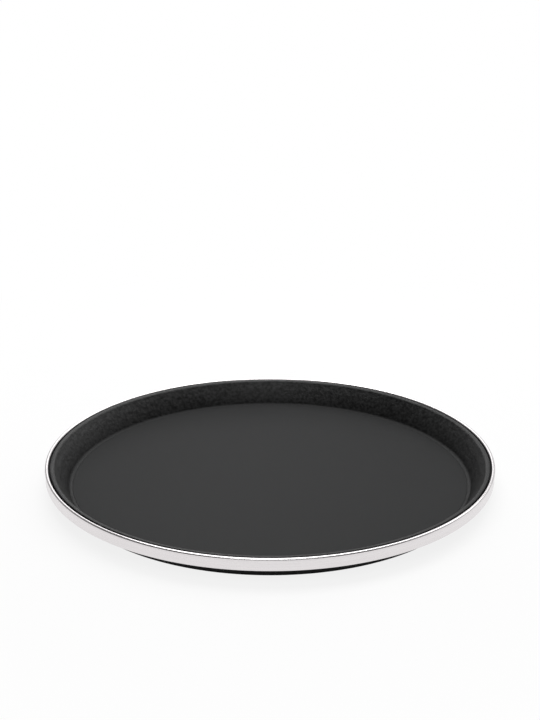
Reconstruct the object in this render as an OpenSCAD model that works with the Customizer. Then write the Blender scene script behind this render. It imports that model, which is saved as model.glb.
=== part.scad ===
// Round non-slip serving tray.
// A moulded pan carries a rubber mat, bonded into a recess in its floor. A roll-formed stainless
// steel band wraps the pan's skirt, with its top edge curled round a steel wire and its hem turned
// in underneath. Millimetres, +Z up, origin at the centre of the plane the tray stands on.

/* [Tray] */
// Overall diameter, across the band's rolled bead
tray_d = 400; // [280:5:500]
// Overall height, from the plane it stands on to the top of the bead
tray_h = 25; // [22:0.5:35]

/* [Pan] */
// Thickness of the pan's floor and wall
pan_t = 2.5; // [2:0.1:3.5]
// Lean of the wall's lower part, in degrees from upright
wall_lean = 32; // [20:0.5:45]
// Lean of the wall's upper part, in degrees from upright
wall_top_lean = 37; // [25:0.5:50]
// Height of the wall's upper part, from the knee between the two to the lip's plane
wall_top_h = 7.2; // [5:0.2:12]
// Radius of the knee
knee_r = 20; // [5:1:30]
// Width of the lip, from its outer edge to where its plane meets the wall's
lip_w = 3.6; // [3:0.1:10]
// Depth of the lip's top below the top of the bead
lip_drop = 0.6; // [0.2:0.1:1.5]
// Radius of the lip's outer edge
lip_edge_r = 1; // [0.2:0.1:1.2]
// Radius of the shoulder where the lip turns down into the wall
shoulder_r = 3; // [0.5:0.5:6]
// Radius of the cove between the wall and the floor
cove_r = 4; // [1:0.5:8]
// Width of the flat rim between the cove and the mat's recess
recess_rim_w = 0.5; // [0.3:0.1:4]
// Radius of the recess's edges
recess_edge_r = 0.2; // [0.1:0.05:0.4]
// Thickness of the skirt that the band wraps
skirt_t = 2; // [1.6:0.1:3]
// Radius of the skirt's lower outer edge
skirt_edge_r = 0.4; // [0.3:0.1:1]
// Thickness of the pan above the channel behind the skirt
channel_roof_t = 2.8; // [1.8:0.1:3.2]
// Height of the foot ring below the pan's underside
foot_h = 0.8; // [0.4:0.1:1.5]
// Height of the foot ring's upright outer side
foot_side_h = 1.6; // [1.2:0.1:3]
// Width of the foot ring
foot_w = 10; // [5:1:20]
// Radius of the foot ring's edges
foot_edge_r = 0.6; // [0.2:0.1:0.6]

/* [Mat] */
// Thickness of the rubber mat, whose top is flush with the rim of its recess
mat_t = 1.4; // [1:0.1:2.5]
// Gap between the mat's edge and the recess
mat_gap = 0.1; // [0.05:0.05:0.8]
// Radius of the mat's edges
mat_edge_r = 0.2; // [0.1:0.05:0.5]
// Thickness of the bond film under the mat
film_t = 0.1; // [0.1:0.05:0.3]
// Distance that the bond film stays back from the mat's lower edge
film_margin = 2; // [1:0.5:5]

/* [Band] */
// Thickness of the band's sheet
band_t = 0.5; // [0.4:0.05:0.6]
// Height of the band, from the top of the bead to the underside of the hem
band_h = 11; // [9:0.5:14]
// Diameter of the bead
bead_d = 3.2; // [2.8:0.1:4]
// Distance that the bead stands out past the band's face
bead_proud = 0.4; // [0.2:0.05:0.5]
// Slot where the bead's curled edge stops short of the band's sheet
curl_gap = 0.3; // [0.2:0.05:0.4]
// Width of the hem turned in under the skirt
hem_w = 3; // [2.4:0.1:4]
// Outer radius of the band's bend into the hem
hem_bend_r = 0.7; // [0.6:0.05:1]
// Clearance between the band and the pan
band_gap = 0.1; // [0.05:0.05:0.3]
// Width of the groove between the lip and the bead
lip_groove_w = 1.2; // [0.3:0.1:1.5]

/* [Band joint] */
// Gap between the band's two ends
seam_w = 0.2; // [0.1:0.1:0.5]
// Length of the strap behind the seam
strap_l = 24; // [16:1:40]
// Thickness of the strap
strap_t = 0.4; // [0.3:0.1:0.6]
// Clearance round the strap in the skirt's pocket
strap_gap = 0.1; // [0.05:0.05:0.3]
// Margin from the strap to the bead above it and the hem below it
strap_margin = 1.2; // [0.8:0.1:2]

/* [Wire] */
// Clearance between the wire and the inside of the bead
wire_gap = 0.1; // [0.05:0.05:0.2]

/* [Hidden] */
$fn = 128;

// Steps in each rounded corner of an outline
corner_steps = 8;
// Azimuth of the band's seam, at the back of the tray
seam_azimuth = 90;

// Radii of the band, from its bead inwards
bead_r = bead_d / 2;
bead_mid_r = tray_d / 2 - bead_r;
bead_mid_z = tray_h - bead_r;
band_out_r = tray_d / 2 - bead_proud;
band_in_r = band_out_r - band_t;
hem_in_r = band_out_r - hem_w;
hem_z = tray_h - band_h;

// The skirt stands inside the band, and the bead sits on the ledge at its top
skirt_out_r = band_in_r - band_gap;
skirt_in_r = skirt_out_r - skirt_t;
skirt_z = hem_z + band_t + band_gap;
ledge_z = bead_mid_z - bead_r - band_gap;
lip_z = tray_h - lip_drop;
lip_out_r = bead_mid_r - bead_r - lip_groove_w;
lip_in_r = lip_out_r - lip_w;

// The recess's floor carries the film and the mat, whose top is level with the tray's floor
recess_z = foot_h + pan_t;
mat_z = recess_z + film_t;
floor_z = mat_z + mat_t;

// The wall runs from the lip's inner edge down to the knee, and from there to the floor
function unit(v) = v / norm(v);
function outward(lean) = [cos(lean), -sin(lean)];
knee = [lip_in_r - wall_top_h * tan(wall_top_lean), lip_z - wall_top_h];
knee_turn = (wall_top_lean - wall_lean) / 2;
knee_out = knee + outward(wall_lean + knee_turn) * pan_t / cos(knee_turn);
function wall_r(z) = knee.x - (knee.y - z) * tan(wall_lean);
function wall_out_r(z) = wall_r(z) + pan_t / cos(wall_lean);
floor_r = wall_r(floor_z);
recess_r = floor_r - cove_r * tan((90 - wall_lean) / 2) - recess_rim_w;
mat_r = recess_r - mat_gap;

// The foot ring lies under the outer corner of the pan's floor, and slopes up to it inside
foot_out_r = wall_out_r(foot_side_h);
foot_in_r = foot_out_r - foot_w;
foot_slope_r = foot_in_r - foot_h;

// The channel behind the skirt keeps an even roof under the lip and under the ledge
channel_in_z = lip_z - pan_t;
channel_in_r = lip_in_r - pan_t * tan(wall_top_lean) + pan_t / cos(wall_top_lean);
channel_out_z = ledge_z - channel_roof_t;

// The strap lies flat against the inside of the band
strap_angle = strap_l / band_in_r * 180 / PI;
strap_gap_angle = strap_gap / band_in_r * 180 / PI;
strap_low_z = skirt_z + strap_margin;
strap_high_z = ledge_z - strap_margin;
seam_angle = seam_w / band_out_r * 180 / PI;

wire_r = bead_r - band_t - wire_gap;

// Points of an arc that rounds the corner p between its neighbours a and b to radius r
function corner(a, p, b, r) =
    r == 0 ? [p] :
    let (
        u = unit(a - p),
        v = unit(b - p),
        half = acos(u * v) / 2,
        centre = p + unit(u + v) * r / sin(half),
        from = p + u * r / tan(half) - centre,
        to = p + v * r / tan(half) - centre,
        start = atan2(from.y, from.x),
        turn = atan2(from.x * to.y - from.y * to.x, from * to)
    )
    [for (i = [0:corner_steps])
        centre + r * [cos(start + turn * i / corner_steps), sin(start + turn * i / corner_steps)]];

// An outline whose points are [radius, height, corner radius]
module outline(points) {
    n = len(points);
    flat = [for (p = points) [p.x, p.y]];
    polygon([for (i = [0:n - 1])
        each corner(flat[(i + n - 1) % n], flat[i], flat[(i + 1) % n], points[i].z)]);
}

module pan_profile() {
    outline([
        [0, foot_h, 0],
        [foot_slope_r, foot_h, 0],
        [foot_in_r, 0, foot_edge_r],
        [foot_out_r, 0, foot_edge_r],
        [foot_out_r, foot_side_h, 0],
        [knee_out.x, knee_out.y, knee_r],
        [channel_in_r, channel_in_z, 0],
        [skirt_in_r, channel_out_z, 0],
        [skirt_in_r, skirt_z, 0],
        [skirt_out_r, skirt_z, skirt_edge_r],
        [skirt_out_r, ledge_z, 0],
        [lip_out_r, ledge_z, 0],
        [lip_out_r, lip_z, lip_edge_r],
        [lip_in_r, lip_z, shoulder_r],
        [knee.x, knee.y, knee_r],
        [floor_r, floor_z, cove_r],
        [recess_r, floor_z, recess_edge_r],
        [recess_r, recess_z, recess_edge_r],
        [0, recess_z, 0]
    ]);
}

// A sector of a ring, low_z to high_z and in_r to out_r, that reaches angle / 2 each side of the seam
module seam_sector(in_r, out_r, low_z, high_z, angle) {
    rotate([0, 0, seam_azimuth - angle / 2])
        rotate_extrude(angle = angle)
            translate([in_r, low_z]) square([out_r - in_r, high_z - low_z]);
}

module tray_pan() {
    color("#2b2b2c")
        difference() {
            rotate_extrude() pan_profile();
            seam_sector(
                band_in_r - strap_t - strap_gap, band_out_r,
                strap_low_z - strap_gap, strap_high_z + strap_gap,
                strap_angle + 2 * strap_gap_angle
            );
        }
}

module grip_mat() {
    color("#3f3f41")
        rotate_extrude()
            outline([
                [0, mat_z, 0],
                [mat_r, mat_z, mat_edge_r],
                [mat_r, floor_z, mat_edge_r],
                [0, floor_z, 0]
            ]);
}

module mat_bond_film() {
    color("#c9b98a")
        translate([0, 0, recess_z])
            cylinder(h = film_t, r = mat_r - film_margin);
}

// The curled bead: a ring of sheet with a slot where its edge stops short of the band
module bead_profile() {
    translate([bead_mid_r, bead_mid_z])
        difference() {
            circle(r = bead_r);
            circle(r = bead_r - band_t);
            translate([band_in_r - bead_mid_r - curl_gap, -bead_r - band_t])
                square([curl_gap, bead_r + band_t]);
        }
}

// The flat face of the band, from inside the bead's sheet down to the bend
module face_profile() {
    top_z = bead_mid_z - (bead_r - band_t / 2);
    outline([
        [hem_in_r, hem_z, 0],
        [band_out_r, hem_z, hem_bend_r],
        [band_out_r, top_z + band_t, 0],
        [band_in_r, top_z + band_t, 0],
        [band_in_r, hem_z + band_t, hem_bend_r - band_t],
        [hem_in_r, hem_z + band_t, 0]
    ]);
}

module rim_band() {
    color("#d8d6d6")
        rotate([0, 0, seam_azimuth + seam_angle / 2])
            rotate_extrude(angle = 360 - seam_angle) {
                bead_profile();
                face_profile();
            }
}

module rim_wire() {
    color("#9a9a9c")
        rotate_extrude()
            translate([bead_mid_r, bead_mid_z]) circle(r = wire_r);
}

module band_joint_strap() {
    color("#b4b4b6")
        seam_sector(band_in_r - strap_t, band_in_r, strap_low_z, strap_high_z, strap_angle);
}

tray_pan();
grip_mat();
mat_bond_film();
rim_band();
rim_wire();
band_joint_strap();
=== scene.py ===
import math

import bpy
import numpy as np
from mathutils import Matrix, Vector

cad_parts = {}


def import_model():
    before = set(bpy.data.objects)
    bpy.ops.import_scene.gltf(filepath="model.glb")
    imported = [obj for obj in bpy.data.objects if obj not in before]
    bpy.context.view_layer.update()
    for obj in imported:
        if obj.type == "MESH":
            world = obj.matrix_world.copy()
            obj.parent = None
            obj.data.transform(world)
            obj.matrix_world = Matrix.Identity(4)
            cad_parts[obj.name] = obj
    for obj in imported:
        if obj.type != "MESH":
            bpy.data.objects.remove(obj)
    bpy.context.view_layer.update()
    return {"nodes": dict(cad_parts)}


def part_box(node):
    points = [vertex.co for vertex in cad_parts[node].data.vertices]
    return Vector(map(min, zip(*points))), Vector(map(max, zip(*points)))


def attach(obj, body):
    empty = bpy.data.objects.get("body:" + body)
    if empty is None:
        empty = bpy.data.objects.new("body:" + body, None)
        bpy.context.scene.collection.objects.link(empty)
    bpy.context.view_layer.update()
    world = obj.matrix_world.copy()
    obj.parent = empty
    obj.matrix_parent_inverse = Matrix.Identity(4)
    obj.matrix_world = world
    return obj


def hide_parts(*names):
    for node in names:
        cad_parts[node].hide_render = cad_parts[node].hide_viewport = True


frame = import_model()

MM = 0.001

# ---------------------------------------------------------------------------
# Sizes of the cross-section, in metres.
BAND_LOW, BAND_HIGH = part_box("rim_band")
PAN_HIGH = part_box("tray_pan")[1]
MAT_LOW, MAT_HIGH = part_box("grip_mat")
STRAP_LOW, STRAP_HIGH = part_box("band_joint_strap")

TRAY_R = max(BAND_HIGH.x, BAND_HIGH.y)
TOP_Z = BAND_HIGH.z
HEM_Z = BAND_LOW.z
LIP_Z = PAN_HIGH.z
SKIRT_OUT_R = max(PAN_HIGH.x, PAN_HIGH.y)
MAT_R = max(MAT_HIGH.x, MAT_HIGH.y)
MAT_Z = MAT_LOW.z
MAT_TOP_Z = MAT_HIGH.z
# Depth of the strap's box. It is more than the sheet's thickness, because the strap is curved, so
# the pocket here is deeper than the CAD's.
STRAP_DEPTH = STRAP_HIGH.y - STRAP_LOW.y

BAND_T = 0.5 * MM
BEAD_R = 1.6 * MM
BEAD_PROUD = 0.4 * MM
BEAD_FILLET = 0.4 * MM
CURL_GAP = 0.3 * MM
HEM_W = 3.0 * MM
HEM_BEND_R = 0.7 * MM
BAND_GAP = 0.1 * MM
SEAM_W = 0.2 * MM

LIP_GROOVE_W = 1.2 * MM
LIP_W = 3.6 * MM
LIP_EDGE_R = 1.0 * MM
SHOULDER_R = 3.0 * MM
WALL_TOP_LEAN = math.radians(37)
WALL_TOP_H = 7.2 * MM
WALL_LEAN = math.radians(32)
KNEE_R = 20.0 * MM
COVE_R = 4.0 * MM
RECESS_RIM_W = 0.5 * MM
RECESS_EDGE_R = 0.2 * MM
PAN_T = 2.5 * MM
SKIRT_T = 2.0 * MM
SKIRT_EDGE_R = 0.4 * MM
CHANNEL_ROOF_T = 2.8 * MM
FOOT_H = 0.8 * MM
FOOT_SIDE_H = 1.6 * MM
FOOT_W = 10.0 * MM
FOOT_EDGE_R = 0.6 * MM
FILM_T = 0.1 * MM
MAT_EDGE_R = 0.2 * MM
STRAP_GAP = 0.1 * MM
# Width of the narrow faces beside the strap's pocket
SLIVER = 0.02 * MM

# Derived radii and heights
BEAD_MID_R = TRAY_R - BEAD_R
BEAD_MID_Z = TOP_Z - BEAD_R
BAND_OUT_R = TRAY_R - BEAD_PROUD
BAND_IN_R = BAND_OUT_R - BAND_T
SKIRT_IN_R = SKIRT_OUT_R - SKIRT_T
SKIRT_Z = HEM_Z + BAND_T + BAND_GAP
LEDGE_Z = BEAD_MID_Z - BEAD_R - BAND_GAP
LIP_OUT_R = BEAD_MID_R - BEAD_R - LIP_GROOVE_W
LIP_IN_R = LIP_OUT_R - LIP_W
RECESS_Z = MAT_Z - FILM_T
KNEE_Z = LIP_Z - WALL_TOP_H
KNEE_IN_R = LIP_IN_R - WALL_TOP_H * math.tan(WALL_TOP_LEAN)
POCKET_LOW_Z = STRAP_LOW.z - STRAP_GAP
POCKET_HIGH_Z = STRAP_HIGH.z + STRAP_GAP
POCKET_R = BAND_IN_R - STRAP_DEPTH - STRAP_GAP

# Azimuth of the band's seam, at the back
SEAM = math.pi / 2

# ---------------------------------------------------------------------------
# Fineness of the meshes
# ---------------------------------------------------------------------------
BAND_TURNS = 720
PAN_TURNS = 600
MAT_TURNS = 480
# Longest faces along the outlines
PAN_FACE = 12 * MM
MAT_FACE = 20 * MM
# Steps in each arc of an outline
CORNER_STEPS = 10
BEAD_STEPS = 56
CURL_STEPS = 36
BEAD_FILLET_STEPS = 5
BEND_IN_STEPS = 4
BEND_OUT_STEPS = 8
# Faces that meet at more than this look sharp
SHARP_ANGLE = math.radians(32)


def wall_r(z):
    """Radius of the wall's inner face, below the knee."""
    return KNEE_IN_R - (KNEE_Z - z) * math.tan(WALL_LEAN)


def wall_out_r(z):
    """Radius of the wall's outer face, below the knee."""
    return wall_r(z) + PAN_T / math.cos(WALL_LEAN)


# ---------------------------------------------------------------------------
# Outlines
# ---------------------------------------------------------------------------
def arc(centre, radius, start, end, steps):
    """Points on a circle from start to end, in degrees."""
    turns = np.radians(np.linspace(start, end, steps + 1))
    return [(centre[0] + radius * math.cos(t), centre[1] + radius * math.sin(t)) for t in turns]


def corner_arc(before, corner, after, radius):
    """Points of the arc that rounds a corner between two others."""
    u = before - corner
    v = after - corner
    u = u / np.linalg.norm(u)
    v = v / np.linalg.norm(v)
    half = math.acos(float(np.clip(u @ v, -1, 1))) / 2
    middle = (u + v) / np.linalg.norm(u + v)
    centre = corner + middle * radius / math.sin(half)
    first = corner + u * radius / math.tan(half) - centre
    last = corner + v * radius / math.tan(half) - centre
    start = math.atan2(first[1], first[0])
    turn = math.atan2(first[0] * last[1] - first[1] * last[0], float(first @ last))
    angles = [start + turn * k / CORNER_STEPS for k in range(CORNER_STEPS + 1)]
    return [(centre[0] + radius * math.cos(a), centre[1] + radius * math.sin(a)) for a in angles]


def rounded(points):
    """The closed outline through (radius, height, corner radius), with its corners rounded."""
    flat = [np.array(p[:2]) for p in points]
    out = []
    for i, p in enumerate(flat):
        radius = points[i][2]
        if radius == 0:
            out.append(tuple(p))
        else:
            out += corner_arc(flat[i - 1], p, flat[(i + 1) % len(flat)], radius)
    return out


def filled(points, longest):
    """points, with more between two that are further apart than longest, except on the axis."""
    out = []
    for i, p in enumerate(points):
        q = points[(i + 1) % len(points)]
        out.append(p)
        if max(p[0], q[0]) == 0:
            continue
        n = int(math.dist(p, q) / longest) + 1
        for k in range(1, n):
            out.append((p[0] + (q[0] - p[0]) * k / n, p[1] + (q[1] - p[1]) * k / n))
    return out


def band_outline():
    """The sheet: round the bead, its curl's edge and its inside, down the band and back up."""
    bead = (BEAD_MID_R, BEAD_MID_Z)
    face_x = BAND_OUT_R - BEAD_MID_R
    inner_x = face_x - BAND_T
    curl_x = inner_x - CURL_GAP
    inside_r = BEAD_R - BAND_T
    fillet_x = face_x + BEAD_FILLET
    fillet_z = -math.sqrt((BEAD_R + BEAD_FILLET) ** 2 - fillet_x ** 2)
    fillet_turn = math.degrees(math.atan2(fillet_z, fillet_x))
    fillet = (BEAD_MID_R + fillet_x, BEAD_MID_Z + fillet_z)
    curl_out = 360 - math.degrees(math.acos(curl_x / BEAD_R))
    curl_in = 360 - math.degrees(math.acos(curl_x / inside_r))
    meet_in = -math.degrees(math.acos(inner_x / inside_r))
    bend = (BAND_OUT_R - HEM_BEND_R, HEM_Z + HEM_BEND_R)
    hem_edge_r = BAND_OUT_R - HEM_W
    return (
        arc(fillet, BEAD_FILLET, 180, 180 + fillet_turn, BEAD_FILLET_STEPS)
        + arc(bead, BEAD_R, fillet_turn, curl_out, BEAD_STEPS)[1:]
        + arc(bead, inside_r, curl_in, meet_in, CURL_STEPS)
        + arc(bend, HEM_BEND_R - BAND_T, 0, -90, BEND_IN_STEPS)
        + [(hem_edge_r, HEM_Z + BAND_T), (hem_edge_r, HEM_Z)]
        + arc(bend, HEM_BEND_R, -90, 0, BEND_OUT_STEPS)
    )


def pan_outline():
    """The moulding: out along the underside, round the skirt and lip, and in over the floor."""
    knee_turn = (WALL_TOP_LEAN - WALL_LEAN) / 2
    knee_t = PAN_T / math.cos(knee_turn)
    knee_out_r = KNEE_IN_R + knee_t * math.cos(WALL_LEAN + knee_turn)
    knee_out_z = KNEE_Z - knee_t * math.sin(WALL_LEAN + knee_turn)
    foot_out_r = wall_out_r(FOOT_SIDE_H)
    foot_in_r = foot_out_r - FOOT_W
    channel_in_r = LIP_IN_R - PAN_T * math.tan(WALL_TOP_LEAN) + PAN_T / math.cos(WALL_TOP_LEAN)
    floor_r = wall_r(MAT_TOP_Z)
    recess_r = floor_r - COVE_R * math.tan((math.pi / 2 - WALL_LEAN) / 2) - RECESS_RIM_W
    return rounded([
        (0, FOOT_H, 0),
        (foot_in_r - FOOT_H, FOOT_H, 0),
        (foot_in_r, 0, FOOT_EDGE_R),
        (foot_out_r, 0, FOOT_EDGE_R),
        (foot_out_r, FOOT_SIDE_H, 0),
        (knee_out_r, knee_out_z, KNEE_R),
        (channel_in_r, LIP_Z - PAN_T, 0),
        (SKIRT_IN_R, LEDGE_Z - CHANNEL_ROOF_T, 0),
        (SKIRT_IN_R, SKIRT_Z, 0),
        (SKIRT_OUT_R, SKIRT_Z, SKIRT_EDGE_R),
        (SKIRT_OUT_R, POCKET_LOW_Z - SLIVER, 0),
        (SKIRT_OUT_R, POCKET_LOW_Z, 0),
        (SKIRT_OUT_R, POCKET_HIGH_Z, 0),
        (SKIRT_OUT_R, POCKET_HIGH_Z + SLIVER, 0),
        (SKIRT_OUT_R, LEDGE_Z, 0),
        (LIP_OUT_R, LEDGE_Z, 0),
        (LIP_OUT_R, LIP_Z, LIP_EDGE_R),
        (LIP_IN_R, LIP_Z, SHOULDER_R),
        (KNEE_IN_R, KNEE_Z, KNEE_R),
        (floor_r, MAT_TOP_Z, COVE_R),
        (recess_r, MAT_TOP_Z, RECESS_EDGE_R),
        (recess_r, RECESS_Z, RECESS_EDGE_R),
        (0, RECESS_Z, 0),
    ])


def mat_outline():
    return rounded([
        (0, MAT_Z, 0),
        (MAT_R, MAT_Z, MAT_EDGE_R),
        (MAT_R, MAT_TOP_Z, MAT_EDGE_R),
        (0, MAT_TOP_Z, 0),
    ])


# ---------------------------------------------------------------------------
# Meshes
# ---------------------------------------------------------------------------
def turn_angles(turns, gap=0.0, edges=()):
    """Angles of a turn from the seam, past half of the gap, with more at the edges."""
    first = SEAM + gap / 2
    even = [first + (2 * math.pi - gap) * i / turns for i in range(turns + 1)]
    return sorted(even + list(edges))


def lathe_points(outline, angles, shift):
    """The points of each section, and their numbers. All sections share the points on the axis."""
    verts = []
    index = np.zeros((len(angles), len(outline)), int)
    poles = {}
    for k in np.nonzero(outline[:, 0] == 0)[0]:
        poles[k] = len(verts)
        verts.append((0.0, 0.0, outline[k, 1]))
    for i, angle in enumerate(angles):
        section = outline if shift is None else shift(outline, angle)
        for k, (r, z) in enumerate(section):
            if k in poles:
                index[i, k] = poles[k]
            else:
                index[i, k] = len(verts)
                verts.append((r * math.cos(angle), r * math.sin(angle), z))
    return verts, index, poles


def lathe_faces(index, poles, angles, along):
    """The faces between the sections, and the UV values of each of their corners."""
    count, n = index.shape
    faces = []
    uvs = []
    for i in range(len(angles) - 1):
        j = (i + 1) % count
        u0, u1 = [(a - angles[0]) * TRAY_R for a in angles[i:i + 2]]
        for k in range(n):
            m = (k + 1) % n
            if k in poles and m in poles:
                continue
            ring = [
                (index[i, k], u0, along[k]),
                (index[j, k], u1, along[k]),
                (index[j, m], u1, along[k + 1]),
                (index[i, m], u0, along[k + 1]),
            ]
            if k in poles:
                ring = [ring[0], ring[2], ring[3]]
            elif m in poles:
                ring = ring[:3]
            faces.append([v for v, _, _ in ring])
            uvs += [(u, v) for _, u, v in ring]
    return faces, uvs


def lathe(name, outline, angles, closed=True, shift=None):
    """A closed outline turned about Z through the angles.

    A closed turn's last section is its first. An open one's ends are filled.
    shift(points, angle) may move the points of one section.
    The UV map "lathe" is in metres, along the turn and along the outline."""
    outline = np.array(outline, float)
    lengths = np.linalg.norm(np.roll(outline, -1, 0) - outline, axis=1)
    along = np.concatenate([[0], np.cumsum(lengths)])
    sections = angles[:-1] if closed else angles
    verts, index, poles = lathe_points(outline, sections, shift)
    faces, uvs = lathe_faces(index, poles, angles, along)
    if not closed:
        faces += [index[0], index[-1][::-1]]
        uvs += 2 * [(0.0, v) for v in along[:-1]]
    mesh = bpy.data.meshes.new(name)
    mesh.from_pydata(verts, [], [[int(v) for v in face] for face in faces])
    layer = mesh.uv_layers.new(name="lathe")
    layer.uv.foreach_set("vector", np.array(uvs, np.float32).ravel())
    mesh.polygons.foreach_set("use_smooth", [True] * len(mesh.polygons))
    mesh.set_sharp_from_angle(angle=SHARP_ANGLE)
    mesh.validate()
    mesh.update()
    return placed(name, mesh)


def placed(name, data):
    """A new object in the scene."""
    obj = bpy.data.objects.new(name, data)
    bpy.context.scene.collection.objects.link(obj)
    return obj


# ---------------------------------------------------------------------------
# Shader nodes
# ---------------------------------------------------------------------------
# Most of a noise's values lie between these two
NOISE_LOW = 0.3
NOISE_HIGH = 0.7
# Share by which a grey's blue is raised and its red lowered
COOL = 0.01


def material(name):
    m = bpy.data.materials.new(name)
    m.use_nodes = True
    tree = m.node_tree
    return m, tree, tree.nodes["Principled BSDF"]


def object_place(tree):
    return tree.nodes.new("ShaderNodeTexCoord").outputs["Object"]


def axes(tree, vector):
    node = tree.nodes.new("ShaderNodeSeparateXYZ")
    tree.links.new(vector, node.inputs["Vector"])
    return node.outputs


def length(tree, vector):
    node = tree.nodes.new("ShaderNodeVectorMath")
    node.operation = "LENGTH"
    tree.links.new(vector, node.inputs[0])
    return node.outputs["Value"]


def stretched(tree, vector, scales):
    node = tree.nodes.new("ShaderNodeMapping")
    node.inputs["Scale"].default_value = scales
    tree.links.new(vector, node.inputs["Vector"])
    return node.outputs["Vector"]


def noise(tree, vector, scale, detail, rough):
    """Noise with so many waves in a unit of the vector."""
    node = tree.nodes.new("ShaderNodeTexNoise")
    node.inputs["Scale"].default_value = scale
    node.inputs["Detail"].default_value = detail
    node.inputs["Roughness"].default_value = rough
    tree.links.new(vector, node.inputs["Vector"])
    return node.outputs["Fac"]


def spread(tree, value, low, high, to_low, to_high):
    """value, mapped from one range to another, and clamped."""
    node = tree.nodes.new("ShaderNodeMapRange")
    node.inputs["From Min"].default_value = low
    node.inputs["From Max"].default_value = high
    node.inputs["To Min"].default_value = to_low
    node.inputs["To Max"].default_value = to_high
    tree.links.new(value, node.inputs["Value"])
    return node.outputs["Result"]


def varied(tree, value, to_low, to_high):
    """A noise, mapped to a range."""
    return spread(tree, value, NOISE_LOW, NOISE_HIGH, to_low, to_high)


def maths(tree, operation, a, b):
    node = tree.nodes.new("ShaderNodeMath")
    node.operation = operation
    for socket, value in ((node.inputs[0], a), (node.inputs[1], b)):
        if isinstance(value, (int, float)):
            socket.default_value = value
        else:
            tree.links.new(value, socket)
    return node.outputs["Value"]


def times(tree, a, b):
    return maths(tree, "MULTIPLY", a, b)


def plus(tree, a, b):
    return maths(tree, "ADD", a, b)


def ramp(tree, value, low, low_colour, high, high_colour):
    """A colour that goes from one to another as the value goes from low to high."""
    node = tree.nodes.new("ShaderNodeValToRGB")
    first, last = node.color_ramp.elements
    first.position = low
    first.color = (*low_colour, 1)
    last.position = high
    last.color = (*high_colour, 1)
    tree.links.new(value, node.inputs["Fac"])
    return node.outputs["Color"]


def blend(tree, factor, a, b):
    """The colour socket a, blended to the plain colour b."""
    node = tree.nodes.new("ShaderNodeMix")
    node.data_type = "RGBA"
    tree.links.new(factor, node.inputs[0])
    tree.links.new(a, node.inputs[6])
    node.inputs[7].default_value = (*b, 1)
    return node.outputs[2]


def bumped(tree, shader, heights, distance):
    node = tree.nodes.new("ShaderNodeBump")
    node.inputs["Strength"].default_value = 1.0
    node.inputs["Distance"].default_value = distance
    tree.links.new(heights, node.inputs["Height"])
    tree.links.new(node.outputs["Normal"], shader.inputs["Normal"])


def grey(level):
    return (level * (1 - COOL), level, level * (1 + COOL))


# ---------------------------------------------------------------------------
# Materials. Scales of noise are in waves to the metre.
# ---------------------------------------------------------------------------
PAN_MOTTLE = 330
PAN_GRAIN = 900
PAN_FLOW = 14
PAN_BLACK = 0.0052
PAN_FLECK = 0.0165
# Paler grey painted into the cove, standing in for the light that the cove catches
PAN_COVE_PAINTED_LIGHT = 0.029
# Range of the mottle over which the plastic goes from black to fleck
MOTTLE_LOW = 0.36
MOTTLE_HIGH = 0.64
PAN_ROUGH_LOW = 0.34
PAN_ROUGH_HIGH = 0.48
PAN_FLOW_ROUGH = 0.04
PAN_LEAST_SHINE = 0.05
PAN_SHINE = 0.24
# Share by which the mottle lowers and raises the shine
PATCHINESS = 0.32
GRAIN_SHARE = 0.8
PAN_BUMP = 0.38 * MM
# Height of the normal at which a face counts as facing up
FACING_UP = 0.3
# Heights between which the cove's painted light fades, and between which the wall turns glossy
COVE_LIGHT_LOW_Z = 5.0 * MM
COVE_LIGHT_HIGH_Z = 6.0 * MM
DULL_Z = 5.2 * MM
GLOSS_Z = 14.0 * MM
# Between these heights the gloss falls to the lip's share of it
LAND_LOW_Z = 21.5 * MM
LAND_HIGH_Z = 24.0 * MM
LAND_GLOSS = 0.65
# Widths at the lip's outer edge: of the dull strip, and of the fade beside it
EDGE_DULL_W = 0.2 * MM
EDGE_FADE_W = 0.8 * MM


def pan_shine(tree, place, height, up, mottle):
    """Specular level: least low down and at the lip's outer edge, less on the lip, and patchy."""
    dull_r = LIP_OUT_R - EDGE_DULL_W
    radius = length(tree, stretched(tree, place, (1, 1, 0)))
    edge = spread(tree, radius, dull_r - EDGE_FADE_W, dull_r, 1.0, 0.0)
    land = spread(tree, height, LAND_LOW_Z, LAND_HIGH_Z, 1.0, LAND_GLOSS)
    shine = times(tree, spread(tree, height, DULL_Z, GLOSS_Z, 0.0, PAN_SHINE), up)
    shine = times(tree, shine, times(tree, edge, land))
    shine = times(tree, shine, varied(tree, mottle, 1 - PATCHINESS, 1 + PATCHINESS))
    return plus(tree, shine, PAN_LEAST_SHINE)


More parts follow.
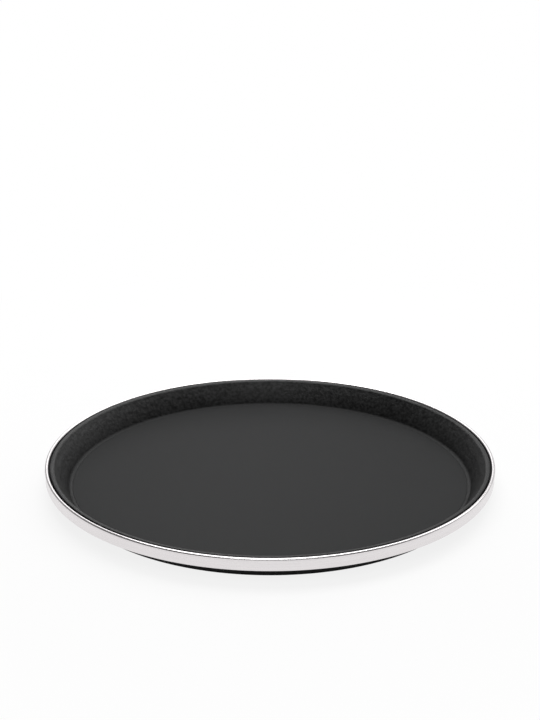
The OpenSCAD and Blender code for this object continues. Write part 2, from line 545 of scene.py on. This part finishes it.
def pan_material():
    """Black plastic with a leathery grain, painted a paler grey low in the cove for the light that
    the cove catches.
    """
    m, tree, shader = material("pan_plastic")
    place = object_place(tree)
    height = axes(tree, place)["Z"]
    facing = axes(tree, tree.nodes.new("ShaderNodeNewGeometry").outputs["Normal"])["Z"]
    up = spread(tree, facing, 0.0, FACING_UP, 0.0, 1.0)
    # Painted light: faces that look up, low in the cove, fade to a paler grey
    cove_light = times(tree, spread(tree, height, COVE_LIGHT_LOW_Z, COVE_LIGHT_HIGH_Z, 1.0, 0.0), up)
    mottle = noise(tree, place, PAN_MOTTLE, 2.0, 0.55)
    grain = noise(tree, place, PAN_GRAIN, 2.0, 0.6)
    flow = noise(tree, place, PAN_FLOW, 2.0, 0.5)
    black = ramp(tree, mottle, MOTTLE_LOW, grey(PAN_BLACK), MOTTLE_HIGH, grey(PAN_FLECK))
    rough = varied(tree, mottle, PAN_ROUGH_LOW, PAN_ROUGH_HIGH)
    rough = plus(tree, rough, varied(tree, flow, -PAN_FLOW_ROUGH, PAN_FLOW_ROUGH))
    shine = pan_shine(tree, place, height, up, mottle)
    tree.links.new(blend(tree, cove_light, black, grey(PAN_COVE_PAINTED_LIGHT)), shader.inputs["Base Color"])
    tree.links.new(rough, shader.inputs["Roughness"])
    tree.links.new(shine, shader.inputs["Specular IOR Level"])
    bumped(tree, shader, plus(tree, times(tree, grain, GRAIN_SHARE), mottle), PAN_BUMP)
    return m


MAT_PEBBLE = 1100
MAT_CLOUD = 9
MAT_FINE = 2200
MAT_GREY_LOW = 0.034
MAT_GREY_HIGH = 0.037
MAT_ROUGH_LOW = 0.46
MAT_ROUGH_HIGH = 0.52
MAT_FINE_ROUGH = 0.03
MAT_SHINE = 0.02
FINE_SHARE = 0.3
MAT_BUMP = 0.05 * MM


def mat_material():
    """Matte dark grey rubber with a fine pebble."""
    m, tree, shader = material("mat_rubber")
    place = object_place(tree)
    pebble = tree.nodes.new("ShaderNodeTexVoronoi")
    pebble.feature = "SMOOTH_F1"
    pebble.inputs["Scale"].default_value = MAT_PEBBLE
    tree.links.new(place, pebble.inputs["Vector"])
    cloud = noise(tree, place, MAT_CLOUD, 3.0, 0.55)
    fine = noise(tree, place, MAT_FINE, 1.0, 0.5)
    colour = ramp(tree, cloud, NOISE_LOW, grey(MAT_GREY_LOW), NOISE_HIGH, grey(MAT_GREY_HIGH))
    rough = varied(tree, cloud, MAT_ROUGH_LOW, MAT_ROUGH_HIGH)
    rough = plus(tree, rough, varied(tree, fine, -MAT_FINE_ROUGH, MAT_FINE_ROUGH))
    tree.links.new(colour, shader.inputs["Base Color"])
    tree.links.new(rough, shader.inputs["Roughness"])
    shader.inputs["Specular IOR Level"].default_value = MAT_SHINE
    heights = plus(tree, pebble.outputs["Distance"], times(tree, fine, FINE_SHARE))
    bumped(tree, shader, heights, MAT_BUMP)
    return m


# Scales along the turn and across it: the brushing is far longer than it is wide
BRUSHED_LINES = (12, 5200, 1)
BRUSHED_BANDS = (9, 900, 1)
SMEARS = (22, 60, 1)
BAND_TINT = (0.80, 0.772, 0.778)
BAND_DARK = 0.94
BANDS_SHARE = 0.6
BAND_COLOUR_LOW = 0.35
BAND_COLOUR_HIGH = 0.65
BAND_ROUGH_LOW = 0.2
BAND_ROUGH_HIGH = 0.34
SMEAR_ROUGH = 0.03
BRUSHING = 0.012 * MM


def darker(colour, share):
    return tuple(share * c for c in colour)


def band_material():
    """Stainless sheet, brushed along its length."""
    m, tree, shader = material("band_steel")
    uv = tree.nodes.new("ShaderNodeUVMap")
    uv.uv_map = "lathe"
    place = uv.outputs["UV"]
    lines = noise(tree, stretched(tree, place, BRUSHED_LINES), 1.0, 3.0, 0.65)
    bands = noise(tree, stretched(tree, place, BRUSHED_BANDS), 1.0, 2.0, 0.5)
    smear = noise(tree, stretched(tree, place, SMEARS), 1.0, 3.0, 0.6)
    tone = plus(tree, times(tree, bands, BANDS_SHARE), times(tree, smear, 1 - BANDS_SHARE))
    dark = darker(BAND_TINT, BAND_DARK)
    colour = ramp(tree, tone, BAND_COLOUR_LOW, dark, BAND_COLOUR_HIGH, BAND_TINT)
    rough = varied(tree, lines, BAND_ROUGH_LOW, BAND_ROUGH_HIGH)
    rough = plus(tree, rough, varied(tree, smear, -SMEAR_ROUGH, SMEAR_ROUGH))
    tree.links.new(colour, shader.inputs["Base Color"])
    tree.links.new(rough, shader.inputs["Roughness"])
    shader.inputs["Metallic"].default_value = 1.0
    bumped(tree, shader, lines, BRUSHING)
    return m


DRAWN_MARKS = 900
STEEL_PATCHES = 40
PATCH_DARK = 0.85
DRAWN_BUMP = 0.02 * MM
WIRE_TINT = (0.42, 0.42, 0.43)
WIRE_ROUGH = (0.35, 0.5)
STRAP_TINT = (0.6, 0.6, 0.61)
STRAP_ROUGH = (0.25, 0.4)


def plain_steel_material(name, tint, rough_range):
    m, tree, shader = material(name)
    place = object_place(tree)
    drawn = noise(tree, place, DRAWN_MARKS, 3.0, 0.6)
    patch = noise(tree, place, STEEL_PATCHES, 2.0, 0.5)
    colour = ramp(tree, patch, NOISE_LOW, darker(tint, PATCH_DARK), NOISE_HIGH, tint)
    tree.links.new(colour, shader.inputs["Base Color"])
    tree.links.new(varied(tree, drawn, *rough_range), shader.inputs["Roughness"])
    shader.inputs["Metallic"].default_value = 1.0
    bumped(tree, shader, drawn, DRAWN_BUMP)
    return m


FILM_SWIRL = 60
FILM_DARK = (0.25, 0.18, 0.07)
FILM_PALE = (0.36, 0.27, 0.12)
FILM_ROUGH = (0.4, 0.6)
FILM_BUMP = 0.03 * MM


def film_material():
    m, tree, shader = material("bond_adhesive")
    swirl = noise(tree, object_place(tree), FILM_SWIRL, 4.0, 0.6)
    colour = ramp(tree, swirl, NOISE_LOW, FILM_DARK, NOISE_HIGH, FILM_PALE)
    tree.links.new(colour, shader.inputs["Base Color"])
    tree.links.new(varied(tree, swirl, *FILM_ROUGH), shader.inputs["Roughness"])
    bumped(tree, shader, swirl, FILM_BUMP)
    return m


# ---------------------------------------------------------------------------
# Pieces
# ---------------------------------------------------------------------------
def finish_piece(obj, node, mat):
    obj.data.materials.append(mat)
    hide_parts(node)
    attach(obj, "root")


def pan_piece():
    """The moulding. At the seam its skirt is dented, for the strap."""
    pocket = math.asin(STRAP_HIGH.x / BAND_IN_R) + STRAP_GAP / BAND_IN_R
    side = pocket + SLIVER / BAND_IN_R

    def dented(points, angle):
        if abs(math.remainder(angle - SEAM, 2 * math.pi)) > (pocket + side) / 2:
            return points
        out = points.copy()
        skirt = (out[:, 0] > SKIRT_OUT_R - SLIVER) & (out[:, 1] > POCKET_LOW_Z - SLIVER / 2)
        out[skirt & (out[:, 1] < POCKET_HIGH_Z + SLIVER / 2), 0] = POCKET_R
        return out

    edges = [SEAM + pocket, SEAM + side, SEAM + 2 * math.pi - side, SEAM + 2 * math.pi - pocket]
    outline = filled(pan_outline(), PAN_FACE)
    mesh = lathe("tray_pan_moulding", outline, turn_angles(PAN_TURNS, edges=edges), shift=dented)
    finish_piece(mesh, "tray_pan", pan_material())


def mat_piece():
    mesh = lathe("grip_mat_sheet", filled(mat_outline(), MAT_FACE), turn_angles(MAT_TURNS))
    finish_piece(mesh, "grip_mat", mat_material())


def band_piece():
    angles = turn_angles(BAND_TURNS, SEAM_W / BAND_OUT_R)
    mesh = lathe("rim_band_rolled", band_outline(), angles, closed=False)
    finish_piece(mesh, "rim_band", band_material())


def carried_nodes():
    """The CAD's own meshes that stay in view get new materials."""
    for node, mat in (
        ("rim_wire", plain_steel_material("wire_steel", WIRE_TINT, WIRE_ROUGH)),
        ("band_joint_strap", plain_steel_material("strap_steel", STRAP_TINT, STRAP_ROUGH)),
        ("mat_bond_film", film_material()),
    ):
        data = frame["nodes"][node].data
        data.materials.clear()
        data.materials.append(mat)


# ---------------------------------------------------------------------------
# Studio
# ---------------------------------------------------------------------------
FLOOR_SIZE = 60.0
FLOOR_GREY = 0.9
# Share of the floor that glows where the camera sees it, or a mirror or glass shows it. It keeps
# the shadow faint, and it grows to the whole between two distances from the tray's axis.
FLOOR_GLOW = 0.85
GLOW_NEAR_R = 0.22
GLOW_FAR_R = 0.6


def seen_rays(tree):
    """1 for what the camera sees, and 1 for what is seen in a mirror or through glass."""
    path = tree.nodes.new("ShaderNodeLightPath").outputs
    mirrored = maths(tree, "MAXIMUM", path["Is Glossy Ray"], path["Is Transmission Ray"])
    return path["Is Camera Ray"], mirrored


def floor_material():
    m = bpy.data.materials.new("studio_white")
    m.use_nodes = True
    tree = m.node_tree
    tree.nodes.clear()
    out = tree.nodes.new("ShaderNodeOutputMaterial")
    diffuse = tree.nodes.new("ShaderNodeBsdfDiffuse")
    diffuse.inputs["Color"].default_value = (FLOOR_GREY, FLOOR_GREY, FLOOR_GREY, 1)
    glow = tree.nodes.new("ShaderNodeEmission")
    glow.inputs["Strength"].default_value = 1.0
    direct, mirrored = seen_rays(tree)
    seen = maths(tree, "MAXIMUM", direct, mirrored)
    distance = length(tree, object_place(tree))
    share = spread(tree, distance, GLOW_NEAR_R, GLOW_FAR_R, FLOOR_GLOW, 1.0)
    mix = tree.nodes.new("ShaderNodeMixShader")
    tree.links.new(times(tree, seen, share), mix.inputs["Fac"])
    tree.links.new(diffuse.outputs["BSDF"], mix.inputs[1])
    tree.links.new(glow.outputs["Emission"], mix.inputs[2])
    tree.links.new(mix.outputs["Shader"], out.inputs["Surface"])
    return m


def floor():
    mesh = bpy.data.meshes.new("studio_floor")
    s = FLOOR_SIZE / 2
    mesh.from_pydata([(-s, -s, 0), (s, -s, 0), (s, s, 0), (-s, s, 0)], [], [(0, 1, 2, 3)])
    mesh.materials.append(floor_material())
    obj = placed("studio_floor", mesh)


# The room that lights the object and shows in its gloss is dimmer in front, overhead and at the
# left. Each pair is of a direction's Y, Z or X, and between the two the room goes from full to dim.
ROOM_FRONT = -0.5
ROOM_BACK = 0.5
ROOM_FRONT_LEVEL = 0.25
ROOM_LOW = 0.5
ROOM_HIGH = 0.9
ROOM_HIGH_LEVEL = 0.5
ROOM_LEFT = -0.8
ROOM_MIDDLE = 0.0
ROOM_LEFT_LEVEL = 0.45
# Level of the room as gloss and glass show it, and the share of that in all other light
ROOM_LEVEL = 0.6
ROOM_FILL = 0.6


def room_level(tree):
    way = axes(tree, tree.nodes.new("ShaderNodeTexCoord").outputs["Generated"])
    front = spread(tree, way["Y"], ROOM_FRONT, ROOM_BACK, ROOM_FRONT_LEVEL, 1.0)
    high = spread(tree, way["Z"], ROOM_LOW, ROOM_HIGH, 1.0, ROOM_HIGH_LEVEL)
    left = spread(tree, way["X"], ROOM_LEFT, ROOM_MIDDLE, ROOM_LEFT_LEVEL, 1.0)
    return times(tree, times(tree, front, high), left)


def world():
    """White to the camera. To everything else it is the room."""
    w = bpy.data.worlds.new("studio")
    bpy.context.scene.world = w
    w.use_nodes = True
    tree = w.node_tree
    tree.nodes.clear()
    out = tree.nodes.new("ShaderNodeOutputWorld")
    direct, mirrored = seen_rays(tree)
    share = plus(tree, ROOM_FILL, times(tree, mirrored, 1 - ROOM_FILL))
    level = times(tree, times(tree, room_level(tree), share), ROOM_LEVEL)
    white = tree.nodes.new("ShaderNodeBackground")
    white.inputs["Color"].default_value = (1, 1, 1, 1)
    tree.links.new(maths(tree, "MAXIMUM", level, direct), white.inputs["Strength"])
    tree.links.new(white.outputs["Background"], out.inputs["Surface"])


# Name, place, target, width and height in metres, and power in watts
LAMPS = (
    ("key", (1.1, 1.0, 1.5), (0, 0, 0), (1.2, 1.2), 9),
    ("overhead", (-0.05, 0.45, 1.9), (0, 0, 0), (1.6, 1.2), 24),
    ("front", (0, -1.3, 1.6), (0, 0, 0), (1.0, 0.8), 7),
    ("behind", (-0.1, 1.15, 0.85), (0, 0, 0), (1.2, 0.4), 2.0),
    ("behind_low", (-0.1, 1.2, 0.42), (0, 0, 0), (0.5, 0.3), 0.6),
    ("behind_left", (-0.12, 0.65, 0.7), (0, 0.05, 0), (0.4, 0.3), 0.7),
)


def aimed(obj, place, target):
    obj.location = place
    obj.rotation_euler = (Vector(target) - Vector(place)).to_track_quat("-Z", "Y").to_euler()


def lamps():
    for name, place, target, size, power in LAMPS:
        data = bpy.data.lights.new(name, "AREA")
        data.shape = "RECTANGLE"
        data.size, data.size_y = size
        data.energy = power
        aimed(placed(name, data), place, target)


CAMERA_LENS = 88.1
CAMERA_SENSOR = 36.0
# Share of the image's height by which the view is raised, so that the tray lies below the middle
CAMERA_SHIFT = 0.13690278
CAMERA_ELEVATION = math.radians(23.65)
# Distance from the camera to the point that it looks at, in radii of the bead's inner edge
CAMERA_RADII = 8
LOOK_Z = 24.2 * MM
CLIP_END = 100


def camera():
    data = bpy.data.cameras.new("camera")
    data.lens = CAMERA_LENS
    data.sensor_width = CAMERA_SENSOR
    data.sensor_fit = "AUTO"
    data.shift_y = CAMERA_SHIFT
    data.clip_end = CLIP_END
    distance = CAMERA_RADII * (BEAD_MID_R - BEAD_R)
    back = Vector((0, -math.cos(CAMERA_ELEVATION), math.sin(CAMERA_ELEVATION)))
    target = Vector((0, 0, LOOK_Z))
    obj = placed("camera", data)
    aimed(obj, target + distance * back, target)
    bpy.context.scene.camera = obj


bpy.context.scene.view_settings.view_transform = "Standard"
camera()
pan_piece()
mat_piece()
band_piece()
carried_nodes()
floor()
world()
lamps()
